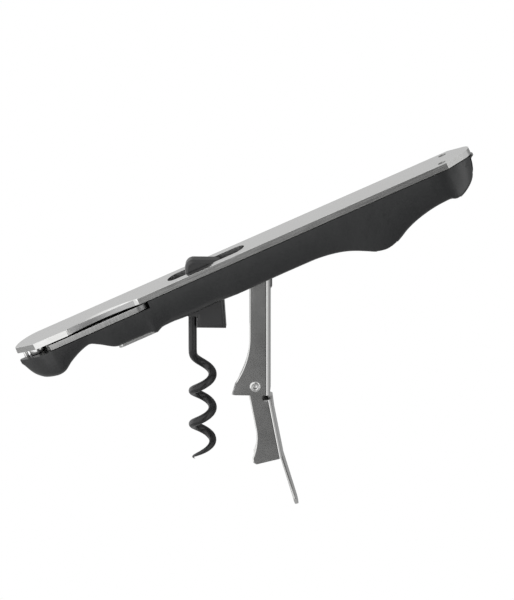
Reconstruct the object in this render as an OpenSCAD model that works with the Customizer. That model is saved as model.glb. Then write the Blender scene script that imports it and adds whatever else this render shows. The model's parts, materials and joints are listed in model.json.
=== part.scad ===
// Push-pull corkscrew: a tilted handle with a folding worm on a hub, a two-step lever,
// a foil blade and a crown-cap opener. It is drawn at work, standing on a bottle's rim.
// Origin: the worm's axis where it crosses the plane of the rim. +Z is up, +X points to
// the lever and +Y away from the near side.
// Handle pieces are laid out in the handle's own frame, which starts at the hub pin:
// x runs along the handle to its right end and z is square to the top plate.
// Lever pieces are laid out from the lever pin's X and from the rim's height.

/* [Stance] */
// Tilt of the handle above level, in degrees
tilt = 25.25; // [24.5:0.25:26]
// Height of the hub pin above the rim
hub_z = 31; // [30.5:0.25:31.5]
// Offset of the hub pin from the worm's axis
hub_x = 1; // [0.8:0.1:1.2]

/* [Top plate] */
// Length of the plate to the left of the hub pin
plate_left = 57.6; // [57.4:0.1:58.4]
// Length of the plate to the right of the hub pin
plate_right = 85.3; // [85.1:0.1:86]
// Width of the plate and of the grip
handle_w = 12.4; // [12.2:0.1:13]
// Thickness of the plate
plate_t = 1.8; // [1.4:0.1:2.2]
// Height of the plate's underside above the hub pin
plate_z = 4.5; // [4.4:0.1:4.8]
// Width of the oval hole over the hub
oval_w = 6; // [5.8:0.1:6.4]
// Left end of the oval hole, from the hub pin
oval_left = 9.2; // [9:0.1:10]
// Right end of the oval hole, from the hub pin
oval_right = 15; // [14.6:0.1:15.4]
// Depth of the nail notch in the near edge
notch_depth = 2.2; // [1.6:0.1:2.6]
// Diameter of the two end screws' heads
screw_d = 2.2; // [2:0.1:2.4]

/* [Grip] */
// Gap that shows between the grip's edge and the plate
shadow_gap = 0.3; // [0.2:0.05:0.5]
// Radius of the grip's lower edges at the tip and below the hub
grip_edge = 2.2; // [1.6:0.1:2.4]
// Radius of the lower edges round the crown-cap arch and along the lever cavity
arch_edge = 0.8; // [0.5:0.1:1]
// Height of the blade pocket's floor above the hub pin
pocket_z = 2.3; // [2.1:0.05:2.35]
// Inner width of the cavity that takes the folded levers
cavity_w = 10.2; // [10.1:0.05:10.2]
// Width of the slot that the hub turns in
slot_w = 5.6; // [5.56:0.02:5.7]

/* [Hub and worm] */
// Thickness of the hub
hub_t = 5; // [4.6:0.1:5]
// Height of the hub's top above the hub pin
hub_top = 8.4; // [7.6:0.1:8.4]
// Depth of the hub's foot below the hub pin
hub_foot = 11.9; // [11:0.1:12]
// Diameter of the hub pin
hub_pin_d = 3; // [2.6:0.1:3.2]
// Diameter of the worm's wire
wire_d = 2.4; // [2:0.1:2.4]
// Radius of the worm's centreline
worm_r = 2.85; // [2.7:0.05:2.85]
// Rise of the worm in one turn
worm_pitch = 10; // [9:0.5:11]
// Height above the rim at which the straight shaft begins to turn
worm_start = 12.7; // [12:0.1:13.2]
// Height of the worm's point, below the rim
worm_tip = 21.3; // [19:0.1:21.4]

/* [Lever] */
// Thickness of the lever's steel sheet
sheet_t = 0.8; // [0.6:0.05:0.8]
// Outer width of the upper lever's channel
lever_w = 9.9; // [9.85:0.05:9.95]
// Diameter of the lever pin
lever_pin_d = 2.5; // [2.2:0.1:2.8]
// Outer width of the step lever's channel
step_w = 8.1; // [8:0.05:8.1]
// Outward tilt of the step lever, in degrees
step_tilt = 10.9; // [8:0.1:12]
// Length of the step lever's tongue
tongue_l = 16; // [14:0.2:16.4]
// Width of the tongue
tongue_w = 5; // [4:0.1:5.2]
// Diameter of the step rivet's heads
rivet_head_d = 3.2; // [2.8:0.1:3.4]

/* [Blade and opener] */
// Thickness of the foil blade
blade_t = 1.6; // [1.2:0.1:1.65]
// Length of the blade from its pin to its point
blade_l = 35.5; // [33:0.5:35.5]
// Thickness of the opener's steel lip
lip_t = 1.2; // [0.9:0.1:1.2]
// Width of the opener's steel lip
lip_w = 10; // [9:0.1:10]

/* [Hidden] */
$fn = 64;

// Running clearance on a radius, and the small gap between parts that don't rub
run = 0.05;
gap = 0.1;
far = 60;

half_w = handle_w / 2;
grip_top = plate_z;
grip_side_top = plate_z - shadow_gap;
plateau = 0.6;
ledge_z = 2.4;

// Left end of the handle in plan: a round nose, cut by a straight facet on the near side
nose_r = 7;
nose_x = nose_r - plate_left;
nose_y = half_w - nose_r;
facet = [[-plate_left + 0.1, -1.3], [-plate_left + 6.1, -half_w]];
// The near edge stands back by this much where it meets the facet
edge_lead = 0.5;
// Right end in plan: two facets that meet a round tip
corner_x = plate_right - 6.7;
facet_end = [plate_right - 2, 3.4];
tip_r = 3.9;
tip_x = plate_right - tip_r;

notch_x = -29.75;
notch_w = 22.5;
notch_r = 35;
// A crescent ground off the notch's upper edge
crescent_w = 0.9;
crescent_t = 0.4;
crescent_r = 23.3;
screw_x = 77.1;
screw_y = 3.9;
screw_shank_d = 1;
screw_depth = 2;
stud_d = 2.2;
studs = [[-40, 4], [-13, 0]];
stud_depth = 3;

// Right end of the lever cavity, and the groove that takes the tongue beyond it
cavity_end = 76.95;
groove_w = 5.6;
groove_top = 3.8;

// Side plates that carry the cross pins, outside the cavity
liner_t = 0.5;
liner_in = cavity_w / 2;
liner_mid = liner_in + liner_t / 2;
liner_out = liner_in + liner_t;
liner_x = [-8, 24];
liner_z = [-2.8, 4.1];

// Lever pin, in the handle's frame and in space
lever_u = 17.3;
lever_n = 0.9;
lever_px = hub_x + lever_u * cos(tilt) - lever_n * sin(tilt);
lever_pz = hub_z + lever_u * sin(tilt) + lever_n * cos(tilt);

// Upper lever, measured from the lever pin's X
lever_back = 3.14;
lever_front = -2.66;
ear_r = 2.9;
web_top = 34.6;
lobe_x = 3.5;
lobe_z = [29.2, 30.1, 35.5, 37.1];
bend_r = 1.2;
flare_z = 17.2;
flare_r = 24.7;
lever_foot = [[-6.76, 3.56], [-7.72, 0.24], [-7.36, 0]];
// The far side flares a little less
far_trim = [1, 0.3];
far_flare_r = 31.5;
rivet_x = -0.96;
rivet_z = 2.65;
rivet_d = 1.9;
rivet_head_t = 0.35;

// Step lever, in its own frame at the rivet
step_back = 3.5;
step_front = -2.4;
step_bend = 1;
step_web_top = -4.85;
step_foot = -23;
tab_out = 0.26;
tab_foot = -9;
tongue_bend = 5.9;

// Blade pivot in the handle's frame
blade_x = -51.9;
blade_z = pocket_z + 0.15;
blade_eye = 2.6;
blade_near = -5.95;
blade_far = 0.85;
blade_end_r = (blade_far - blade_near) / 2;
blade_pin_d = 2.4;
stop_at = [-55.6, -0.5];
stop_d = 1.3;
pocket_far = 1.6;
pocket_end_r = 3.9;
pocket_end_x = -19.3;
sweep_r = blade_l + 0.8;

// Opener lip
lip_x = [-29.7, -17.8];
lip_top = -4.15;
lip_rivets_at = [[-21.5, -2.8], [-21.5, 2.8]];
lip_rivet_d = 1.8;
lip_rivet_head = 2.6;

// Underside of the grip along the handle, at the middle of its width: the tip, the crown-cap
// arch, the lip's seat and its stop, the straight middle, the finger bulge and the right end
grip_low = [
    [-57.9, 1.4], [-57.2, -0.8], [-56.4, -2.25], [-55.2, -3.5], [-52.4, -4.95], [-49, -5.5],
    [-47, -5.15], [-43.6, -3.05], [-39.5, -1.2], [-36.8, -0.55], [-34.6, -1.6], [-29.2, -4.5],
    [-18.6, -4.55], [-18, -5.5], [-15.4, -4.5], [-7.6, -4.85], [4.6, -4.6], [11.9, -4.55],
    [24, -4.4], [32, -4.42], [35.3, -4.65], [37.8, -5], [40, -5.45], [42.2, -6.1], [44.3, -6.95],
    [47.3, -8.45], [49.3, -9.5], [51, -10], [52.6, -10.2], [54.2, -10], [55.6, -9.6],
    [57.2, -8.9], [60.4, -7.2], [63.5, -6], [66.4, -5.2], [69.1, -4.65], [71.8, -4.3],
    [75.4, -4.15], [76.4, -4.8], [77.8, -4.95], [79.3, -4.45], [80.9, -3.55], [82.1, -2.65],
    [83.2, -1.45], [83.9, -0.2], [84.5, 2.4]];
soften = 0.8;
stations = concat(
    [for (u = [-57.9 : 0.6 : -50.7]) u], [for (u = [-50 : 1.1 : -15.5]) u],
    [for (u = [-13 : 4 : 35]) u], [for (u = [37 : 1.6 : 60]) u],
    [for (u = [62 : 2.6 : 74]) u], [for (u = [75.6 : 0.8 : 84]) u], [84.5]);
edge_steps = 5;

function low_at(u) = lookup(u, grip_low);
function grip_under(u) = (low_at(u - soften) + 2 * low_at(u) + low_at(u + soften)) / 4;
// The grip's right end stands a little outside the plate's facets and tip
grip_tip_r = tip_r + 0.3;
grip_facet_half = sqrt(grip_tip_r * grip_tip_r - (facet_end[0] - tip_x) * (facet_end[0] - tip_x));
function right_half(u) =
    u < corner_x ? half_w :
    u < facet_end[0] ? half_w - (half_w - grip_facet_half) * (u - corner_x) / (facet_end[0] - corner_x) :
    sqrt(grip_tip_r * grip_tip_r - (u - tip_x) * (u - tip_x));
function facet_at(u) =
    facet[0][1] + (facet[1][1] - facet[0][1]) * (u - facet[0][0]) / (facet[1][0] - facet[0][0]);
// The grip's nose reaches a little past the plate
grip_nose_x = nose_x - 0.35;
function far_side(u) = u < grip_nose_x ?
    nose_y + sqrt(nose_r * nose_r - (u - grip_nose_x) * (u - grip_nose_x)) : right_half(u);
function near_side(u) = u < facet[1][0] ? facet_at(u) : -right_half(u);
function edge_at(u) = min(
    lookup(u, [[-50, grip_edge], [-46, arch_edge], [-16, arch_edge], [-12, grip_edge],
        [2, grip_edge], [8, arch_edge]]),
    0.45 * (grip_side_top - grip_under(u)),
    0.45 * (far_side(u) - near_side(u)));

// One section of the grip, from its near top edge down, across and up again
function grip_ring(u) =
    let (a = near_side(u), b = far_side(u), z = grip_under(u), r = edge_at(u))
    concat(
        [[u, a, grip_side_top]],
        [for (i = [0 : edge_steps]) let (t = 90 * i / edge_steps)
            [u, a + r - r * cos(t), z + r - r * sin(t)]],
        [for (i = [0 : edge_steps]) let (t = 90 - 90 * i / edge_steps)
            [u, b - r + r * cos(t), z + r - r * sin(t)]],
        [[u, b, grip_side_top], [u, b - plateau, grip_top], [u, a + plateau, grip_top]]);

// Centreline of the worm: a straight shaft, then a turn that speeds up into a steady coil
coil_lead = 6.2;
lead_turn = 180 / worm_pitch * coil_lead;
function turned(s) =
    s < coil_lead ? lead_turn * (s / coil_lead) * (s / coil_lead) :
    lead_turn + 360 / worm_pitch * (s - coil_lead);
function turn_rate(s) = 360 / worm_pitch * min(s / coil_lead, 1);
worm_drop = worm_start + worm_tip;
point_l = 7;
point_r = 0.2;
wire_sides = 12;
function wire_at(s) =
    wire_d / 2 - (wire_d / 2 - point_r) * max(0, (s - worm_drop + point_l) / point_l);
function worm_ring(s, z) =
    let (a = 180 - turned(s), k = turn_rate(s) * PI / 180 * worm_r,
        n = sqrt(1 + k * k), r = wire_at(s),
        out = [cos(a), sin(a), 0],
        side = [sin(a) / n, -cos(a) / n, k / n])
    [for (i = [0 : wire_sides - 1]) let (t = 360 * i / wire_sides)
        [worm_r * cos(a), worm_r * sin(a), z] + r * (out * cos(t) + side * sin(t))];
coil_steps = concat(
    [for (i = [0 : 12]) coil_lead * i / 13],
    [for (i = [0 : 70]) coil_lead + (worm_drop - coil_lead) * i / 70]);
shaft_top = 26;

// Faces of a skin over a row of rings, each of n points
function skin(rows, n) = concat(
    [[for (j = [0 : n - 1]) j]],
    [for (i = [0 : rows - 2], j = [0 : n - 1]) [i * n + j, (i + 1) * n + j, (i + 1) * n + (j + 1) % n]],
    [for (i = [0 : rows - 2], j = [0 : n - 1]) [i * n + j, (i + 1) * n + (j + 1) % n, i * n + (j + 1) % n]],
    [[for (j = [n - 1 : -1 : 0]) (rows - 1) * n + j]]);
function flat(list) = [for (row = list, p = row) p];

module in_handle() {
    translate([hub_x, 0, hub_z])
        rotate([0, -tilt, 0])
            children();
}

module in_step() {
    translate([lever_px + rivet_x, 0, rivet_z])
        rotate([0, -step_tilt, 0])
            children();
}

// Outline in plan, given thickness from z0 to z1
module slab(z0, z1) {
    translate([0, 0, z0])
        linear_extrude(z1 - z0)
            children();
}

// Outline seen from the near side, given a width across the handle
module across(w) {
    rotate([90, 0, 0])
        linear_extrude(w, center = true)
            children();
}

// Round rod across the handle
module cross_rod(d, w) {
    rotate([90, 0, 0])
        cylinder(d = d, h = w, center = true);
}

module plate_outline() {
    intersection() {
        union() {
            translate([nose_x, nose_y])
                circle(r = nose_r);
            translate([nose_x, -half_w])
                square([corner_x - nose_x, handle_w]);
            polygon([[corner_x, -half_w], [facet_end[0], -facet_end[1]],
                [facet_end[0], facet_end[1]], [corner_x, half_w]]);
            translate([tip_x, 0])
                circle(r = tip_r);
        }
        polygon([[-far, facet[0][1]], facet[0], facet[1] + [0, edge_lead],
            [notch_x - notch_w / 2, -half_w], [2 * far, -half_w],
            [2 * far, half_w], [-far, half_w]]);
    }
}

module top_plate() {
    color("silver")
        in_handle()
            difference() {
                slab(plate_z, plate_z + plate_t)
                    plate_face();
                translate([notch_x, notch_depth + crescent_w - half_w - crescent_r,
                    plate_z + plate_t - crescent_t])
                    cylinder(r1 = crescent_r - crescent_w, r2 = crescent_r + crescent_w,
                        h = 2 * crescent_t, $fn = 128);
            }
}

// Plate in plan with its oval hole, its notch and the end screws' holes
module plate_face() {
    difference() {
        plate_outline();
        translate([oval_w / 2 - oval_left, 0])
            circle(d = oval_w);
        translate([oval_right - oval_w / 2, 0])
            circle(d = oval_w);
        translate([oval_w / 2 - oval_left, -oval_w / 2])
            square([oval_left + oval_right - oval_w, oval_w]);
        intersection() {
            translate([notch_x, notch_depth - half_w - notch_r])
                circle(r = notch_r, $fn = 128);
            translate([notch_x - notch_w / 2, -half_w - 1])
                square([notch_w, notch_depth + 2]);
        }
        for (s = [-1, 1])
            translate([screw_x, s * screw_y])
                circle(d = screw_d + 2 * run);
    }
}

// Studs under the plate that hold it in the grip
module plate_studs() {
    color("gray")
        in_handle()
            for (p = studs)
                translate([p[0], p[1], plate_z - stud_depth])
                    cylinder(d = stud_d, h = stud_depth);
}

module plate_screws() {
    color("gray")
        in_handle()
            for (s = [-1, 1])
                translate([screw_x, s * screw_y, 0]) {
                    translate([0, 0, plate_z])
                        cylinder(d = screw_d, h = plate_t);
                    translate([0, 0, plate_z - screw_depth])
                        cylinder(d = screw_shank_d, h = screw_depth);
                }
}

module blade_pocket() {
    fall_y = 0.3;
    fall = 0.4;
    // Behind the stop pin the nose falls away
    translate([-far, fall_y, pocket_z])
        rotate([90, 0, 90])
            linear_extrude(far + blade_x - 3)
                polygon([[0, 0], [0, far], [far, far], [far, -fall * far]]);
    slab(pocket_z, plate_z + 1) {
        translate([-far, -far])
            square([far + pocket_end_x, far + pocket_far]);
        translate([-far, -far])
            square([far - 48, 2 * far]);
        translate([pocket_end_x, pocket_far - pocket_end_r])
            circle(r = pocket_end_r);
        intersection() {
            translate([blade_x, 0])
                circle(r = sweep_r, $fn = 180);
            translate([pocket_end_x - 1, -far])
                square([10, far + pocket_far - pocket_end_r]);
        }
    }
}

// Space for the folded levers: open below, slanted at the left end
module lever_cavity() {
    across(cavity_w)
        polygon([[14.6, 5.2], [14.2, 4.3], [10.3, -4.4], [8, -9.5], [8, -far],
            [78, -far], [78, 0], [cavity_end, 1], [cavity_end, 5.2]]);
}

module grip() {
    color([0.2, 0.2, 0.21])
        in_handle()
            difference() {
                union() {
                    polyhedron(
                        points = flat([for (u = stations) grip_ring(u)]),
                        faces = skin(len(stations), 2 * edge_steps + 6));
                    translate([tip_x, 0, ledge_z])
                        cylinder(r = tip_r + 0.4, h = grip_side_top - ledge_z);
                }
                blade_pocket();
                lever_cavity();
                // Slot for the hub, through from the plate to the underside
                translate([-10.5, -slot_w / 2, -far])
                    cube([24, slot_w, 2 * far]);
                // Groove for the tongue through the right end
                translate([cavity_end - 1, -groove_w / 2, -far])
                    cube([20, groove_w, far + groove_top]);
                // Room for the rivet's heads in the bulge
                translate([49.6, -liner_out, -far])
                    cube([6.6, 2 * liner_out, far + 1.6]);
                // Seats of the liners
                for (s = [-1, 1])
                    translate([liner_x[0] - run, s * liner_mid - liner_t / 2, liner_z[0] - run])
                        cube([liner_x[1] - liner_x[0] + 2 * run, liner_t, 10]);
                cross_rod(hub_pin_d + 2 * run, 2 * liner_in);
                for (p = studs)
                    translate([p[0], p[1], plate_z - stud_depth - gap])
                        cylinder(d = stud_d + 2 * run, h = stud_depth + 1);
                for (s = [-1, 1])
                    translate([screw_x, s * screw_y, plate_z - screw_depth])
                        cylinder(d = screw_shank_d, h = far);
                translate([blade_x, 0, -1])
                    cylinder(d = blade_pin_d, h = far);
                translate([stop_at[0], stop_at[1], 0.5])
                    cylinder(d = stop_d, h = far);
                // Seat of the opener's lip
                translate([lip_x[0] - 2, -lip_w / 2 - run, lip_top - 3])
                    cube([lip_x[1] - lip_x[0] + 2 + run, lip_w + 2 * run, 3]);
                for (p = lip_rivets_at)
                    translate([p[0], p[1], lip_top - 1])
                        cylinder(d = lip_rivet_d, h = 3.5);
            }
}

module liner() {
    color("silver")
        in_handle()
            rotate([90, 0, 0])
                linear_extrude(liner_t, center = true)
                    difference() {
                        translate([liner_x[0], liner_z[0]])
                            square([liner_x[1] - liner_x[0], liner_z[1] - liner_z[0]]);
                        circle(d = hub_pin_d);
                        translate([lever_u, lever_n])
                            circle(d = lever_pin_d);
                    }
}

module liner_near() {
    translate([0, -liner_mid, 0])
        liner();
}

module liner_far() {
    translate([0, liner_mid, 0])
        liner();
}

module hub_pin() {
    color("gray")
        translate([hub_x, 0, hub_z])
            cross_rod(hub_pin_d, 2 * liner_out);
}

module hub_washers() {
    washer_t = (slot_w - hub_t) / 2 - run;
    color("gainsboro")
        translate([hub_x, 0, hub_z])
            for (s = [-1, 1])
                translate([0, s * (slot_w / 2 - run / 2 - washer_t / 2), 0])
                    rotate([90, 0, 0])
                        difference() {
                            cylinder(d = hub_pin_d + 3, h = washer_t, center = true);
                            cylinder(d = hub_pin_d + 2 * run, h = 1, center = true);
                        }
}

// Hub seen from the near side, measured from the hub pin
module hub_side() {
    r = 2.3;
    left = -5.9;
    right = 5.2;
    // The left side stops short, and the foot goes on beside the worm's shaft
    chin = -8.7;
    foot_left = wire_d / 2 + gap - worm_r - hub_x;
    polygon([[left, hub_top - r], [left, -7], [left + 0.5, chin + 0.4], [left + 1, chin], [foot_left, chin],
        [foot_left, -hub_foot], [right + 0.6, -hub_foot], [right, -3], [right, hub_top - r]]);
    translate([left + r, hub_top - r])
        circle(r = r);
    translate([right - r, hub_top - r])
        circle(r = r);
    translate([left + r, hub_top - 2 * r])
        square([right - left - 2 * r, 2 * r]);
}

module worm_hub() {
    round_r = 1.2;
    reach = 5.9;
    color([0.12, 0.12, 0.12])
        difference() {
            translate([hub_x, 0, hub_z])
                intersection() {
                    across(hub_t)
                        hub_side();
                    slab(-20, 20) {
                        for (x = [round_r - reach, reach - round_r], s = [-1, 1])
                            translate([x, s * (hub_t / 2 - round_r)])
                                circle(r = round_r);
                        translate([round_r - reach, -hub_t / 2])
                            square([2 * (reach - round_r), hub_t]);
                        translate([-reach, round_r - hub_t / 2])
                            square([2 * reach, hub_t - 2 * round_r]);
                    }
                }
            translate([hub_x, 0, hub_z])
                cross_rod(hub_pin_d + 2 * run, far);
            translate([-worm_r, 0, shaft_top - 10])
                cylinder(d = wire_d + 0.04, h = 10 + gap);
        }
}

module worm() {
    color([0.15, 0.15, 0.15])
        polyhedron(
            points = concat(worm_ring(0, shaft_top),
                flat([for (s = coil_steps) worm_ring(s, worm_start - s)])),
            faces = skin(len(coil_steps) + 1, wire_sides));
}

module lever_pin() {
    color("gray")
        translate([lever_px, 0, lever_pz])
            cross_rod(lever_pin_d, 2 * liner_out);
}

module lever_spacer() {
    color("gainsboro")
        translate([lever_px, 0, lever_pz])
            difference() {
                cross_rod(3.8, lever_w - 2 * sheet_t - 2 * gap);
                cross_rod(lever_pin_d + 2 * run, lever_w);
            }
}

// Half of a bent sheet's section: a block with its web side's corners rounded
module round_back(w, r, back) {
    translate([back - 20, -w / 2])
        square([20 - r, w]);
    translate([back - 20, r - w / 2])
        square([20, w - 2 * r]);
    for (s = [-1, 1])
        translate([back - r, s * (w / 2 - r)])
            circle(r = r);
}

module channel(w, r, back) {
    difference() {
        round_back(w, r, back);
        translate([-1, 0])
            round_back(w - 2 * sheet_t, r - sheet_t, back - sheet_t + 1);
    }
}

module lever_side() {
    difference() {
        union() {
            translate([0, lever_pz])
                circle(r = ear_r);
            polygon(concat([[lever_front, lever_pz], [lever_front, flare_z], [lever_foot[0][0], flare_z]],
                lever_foot, [[lever_back, 0], [lever_back, lobe_z[2]],
                [ear_r, lobe_z[3]], [ear_r, lever_pz]]));
        }
        translate([lever_front - flare_r, flare_z])
            circle(r = flare_r, $fn = 180);
    }
}

// What the far side lacks against the near one
module far_flare() {
    translate([lever_front - far_flare_r, flare_z])
        circle(r = far_flare_r, $fn = 180);
    polygon(concat([[-10, -1], [-10, lever_foot[0][1]]], [for (p = lever_foot) p + far_trim],
        [[0, far_trim[1]], [0, -1]]));
}

module lever_upper() {
    color("lightgray")
        translate([lever_px, 0, 0])
            difference() {
                union() {
                    intersection() {
                        slab(-1, lever_pz + 5)
                            channel(lever_w, bend_r, lever_back);
                        across(lever_w + 2)
                            lever_side();
                    }
                    // Flat lobe on the far flange, a little proud of the web
                    translate([0, (lever_w - sheet_t) / 2, 0])
                        across(sheet_t)
                            polygon([[ear_r - bend_r, lobe_z[0]], [lever_back - 0.1, lobe_z[0]],
                                [lobe_x, lobe_z[1]], [lobe_x, lobe_z[2]], [ear_r, lobe_z[3]],
                                [ear_r - bend_r, lobe_z[3]]]);
                }
                // The web stops below the ears
                translate([lever_back - 2, sheet_t - lever_w / 2, web_top])
                    cube([4, lever_w - 2 * sheet_t, 20]);
                translate([0, far / 2 + 1, 0])
                    across(far)
                        far_flare();
                translate([0, 0, lever_pz])
                    cross_rod(lever_pin_d + 2 * run, far);
                translate([rivet_x, 0, rivet_z])
                    cross_rod(rivet_d, far);
            }
}

module step_rivet() {
    color("gainsboro")
        translate([lever_px + rivet_x, 0, rivet_z])
            difference() {
                union() {
                    cross_rod(rivet_d, lever_w + rivet_head_t);
                    for (s = [-1, 1])
                        translate([0, s * (lever_w + rivet_head_t) / 2, 0])
                            cross_rod(rivet_head_d, rivet_head_t);
                }
                for (s = [-1, 1])
                    translate([0, s * (lever_w / 2 + rivet_head_t), 0])
                        cross_rod(1.3, 1.8);
            }
}

module step_side() {
    difference() {
        union() {
            circle(r = -step_front);
            polygon([[step_front, 0], [step_front, -12.5], [-5, -12.5], [-5, step_foot + 0.8],
                [-4, step_foot - 0.35], [2.5, step_foot + 0.1], [step_back, step_foot + 0.5],
                [step_back, step_web_top], [1.2, step_web_top], [1.2, -3.9], [2.2, -2], [2.35, -0.4]]);
            translate([-4, step_foot + 0.7])
                circle(r = 1.05);
        }
        translate([step_front - 16.5, -12.5])
            circle(r = 16.5, $fn = 120);
    }
}

module step_lever() {
    tongue_from = step_foot + 0.6;
    color("lightgray")
        in_step()
            difference() {
                union() {
                    intersection() {
                        slab(step_foot - 2, 3)
                            channel(step_w, step_bend, step_back);
                        across(step_w + 2)
                            step_side();
                    }
                    // The web's top leans out a little, clear of the upper lever's web
                    across(step_w - 2 * step_bend)
                        polygon([[step_back - sheet_t / 2, step_web_top],
                            [step_back + tab_out, step_web_top], [step_back, tab_foot],
                            [step_back - sheet_t / 2, tab_foot]]);
                    // Tongue below the step's foot
                    translate([step_back - sheet_t, 0, tongue_from])
                        rotate([0, -tongue_bend, 0])
                            rotate([0, 90, 0])
                                linear_extrude(sheet_t) {
                                    translate([-0.3, -tongue_w / 2])
                                        square([tongue_l - tongue_w / 2 + 0.3, tongue_w]);
                                    translate([tongue_l - tongue_w / 2, 0])
                                        circle(d = tongue_w);
                                }
                }
                cross_rod(rivet_d + 2 * run, far);
            }
}

module blade() {
    tooth = 1.1;
    body_x = 4.35;
    heel = [[body_x, -1], [3.4, blade_near + 1.5], [4.5, blade_near]];
    color("silver")
        in_handle()
            translate([blade_x, 0, 0])
                slab(blade_z, blade_z + blade_t)
                    difference() {
                        union() {
                            circle(r = blade_eye);
                            // Narrow tang from the eye to the heel
                            translate([1, -0.7])
                                square([body_x, 0.7 + blade_far]);
                            polygon(concat([[body_x, blade_far]], heel,
                                [[blade_l - blade_end_r, blade_near], [blade_l - blade_end_r, blade_far]]));
                            translate([blade_l - blade_end_r, blade_near + blade_end_r])
                                circle(r = blade_end_r);
                        }
                        circle(d = blade_pin_d + 2 * run);
                        // Saw teeth along the hidden edge
                        for (i = [0 : 18])
                            translate([9 + i * tooth, blade_far])
                                polygon([[0, 0.1], [0, 0], [0.5, -0.4], [1, 0], [1, 0.1]]);
                    }
}

module blade_pin() {
    color("gray")
        in_handle()
            translate([blade_x, 0, -1])
                cylinder(d = blade_pin_d, h = plate_z + 1);
}

module blade_washer() {
    color("gainsboro")
        in_handle()
            translate([blade_x, 0, blade_z + blade_t + run / 2])
                difference() {
                    cylinder(d = 2 * blade_eye - 0.4, h = plate_z - blade_z - blade_t - run);
                    translate([0, 0, -1])
                        cylinder(d = blade_pin_d + 2 * run, h = 5);
                }
}

module blade_stop_pin() {
    color("gray")
        in_handle()
            translate([stop_at[0], stop_at[1], 0.5])
                cylinder(d = stop_d, h = plate_z - 0.5);
}

module opener_lip() {
    corner = 1.5;
    color("silver")
        in_handle()
            slab(lip_top - lip_t, lip_top)
                difference() {
                    union() {
                        translate([lip_x[0] + corner, -lip_w / 2])
                            square([lip_x[1] - lip_x[0] - corner, lip_w]);
                        translate([lip_x[0], corner - lip_w / 2])
                            square([corner, lip_w - 2 * corner]);
                        for (s = [-1, 1])
                            translate([lip_x[0] + corner, s * (lip_w / 2 - corner)])
                                circle(r = corner);
                    }
                    for (p = lip_rivets_at)
                        translate([p[0], p[1]])
                            circle(d = lip_rivet_head);
                }
}

module lip_rivets() {
    color("gray")
        in_handle()
            for (p = lip_rivets_at)
                translate([p[0], p[1], lip_top - lip_t]) {
                    cylinder(d = lip_rivet_head, h = lip_t);
                    cylinder(d = lip_rivet_d, h = lip_t + 2.4);
                }
}

top_plate();
plate_studs();
plate_screws();
grip();
liner_near();
liner_far();
hub_pin();
hub_washers();
worm_hub();
worm();
lever_pin();
lever_spacer();
lever_upper();
step_rivet();
step_lever();
blade();
blade_pin();
blade_washer();
blade_stop_pin();
opener_lip();
lip_rivets();
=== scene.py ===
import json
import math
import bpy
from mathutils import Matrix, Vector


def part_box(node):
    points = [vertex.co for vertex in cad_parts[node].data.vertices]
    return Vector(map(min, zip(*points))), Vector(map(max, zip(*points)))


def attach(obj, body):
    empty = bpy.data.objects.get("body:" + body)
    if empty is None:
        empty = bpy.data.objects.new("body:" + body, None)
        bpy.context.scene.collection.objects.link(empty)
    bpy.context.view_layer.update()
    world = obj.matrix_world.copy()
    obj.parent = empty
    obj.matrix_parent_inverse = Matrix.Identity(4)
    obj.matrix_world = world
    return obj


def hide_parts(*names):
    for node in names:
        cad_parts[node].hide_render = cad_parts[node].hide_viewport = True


bl_info = {
    "name": "Push-Pull Corkscrew",
    "version": (1, 0, 0),
    "blender": (4, 5, 0),
    "location": "View3D > Sidebar > Corkscrew",
    "description": "Moulded grip, worm, soft edges, finishes and studio for a push-pull corkscrew",
    "category": "Object",
}

import bmesh
import bpy
from bpy.props import FloatProperty, FloatVectorProperty, IntProperty, PointerProperty
from mathutils import Matrix, Vector

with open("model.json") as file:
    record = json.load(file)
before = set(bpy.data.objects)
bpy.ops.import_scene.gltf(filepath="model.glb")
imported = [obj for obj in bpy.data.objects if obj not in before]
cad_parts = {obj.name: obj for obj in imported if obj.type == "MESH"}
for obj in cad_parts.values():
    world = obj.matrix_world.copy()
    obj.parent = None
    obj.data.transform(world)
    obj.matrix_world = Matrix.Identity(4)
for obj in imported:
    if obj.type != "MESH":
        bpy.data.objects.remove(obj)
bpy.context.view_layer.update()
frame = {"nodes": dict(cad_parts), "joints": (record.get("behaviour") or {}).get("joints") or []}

MM = 0.001
# Points closer than this are one point, and faces that turn by less than this are one face
ONE_POINT = 0.002 * MM
ONE_FACE = math.radians(0.6)

# The handle's own directions and the places that the frame's joints state, all at rest
JOINTS = {joint["name"]: joint for joint in frame["joints"]}
UP = -Vector(JOINTS["blade_swing"]["axis"]).normalized()
ALONG = Vector((UP.z, 0, -UP.x))
HUB = Vector(JOINTS["worm_swing"]["pos_m"])
RIVET = Vector(JOINTS["step_swing"]["pos_m"])
TILT = math.atan2(ALONG.z, ALONG.x)
HANDLE = Matrix.Translation(HUB) @ Matrix((ALONG, (0, 1, 0), UP)).transposed().to_4x4()
HANDLE_MM = HANDLE @ Matrix.Scale(MM, 4)
# Turns an upright axis to point across the handle
ACROSS = Matrix.Rotation(-math.pi / 2, 4, "X")


# ---------------------------------------------------------------- Shapes

def lookup(x, points):
    """Height of a line of straight runs through the points, level beyond its ends."""
    if x <= points[0][0]:
        return points[0][1]
    for (x0, y0), (x1, y1) in zip(points, points[1:]):
        if x <= x1:
            return y0 + (y1 - y0) * (x - x0) / (x1 - x0)
    return points[-1][1]


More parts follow.
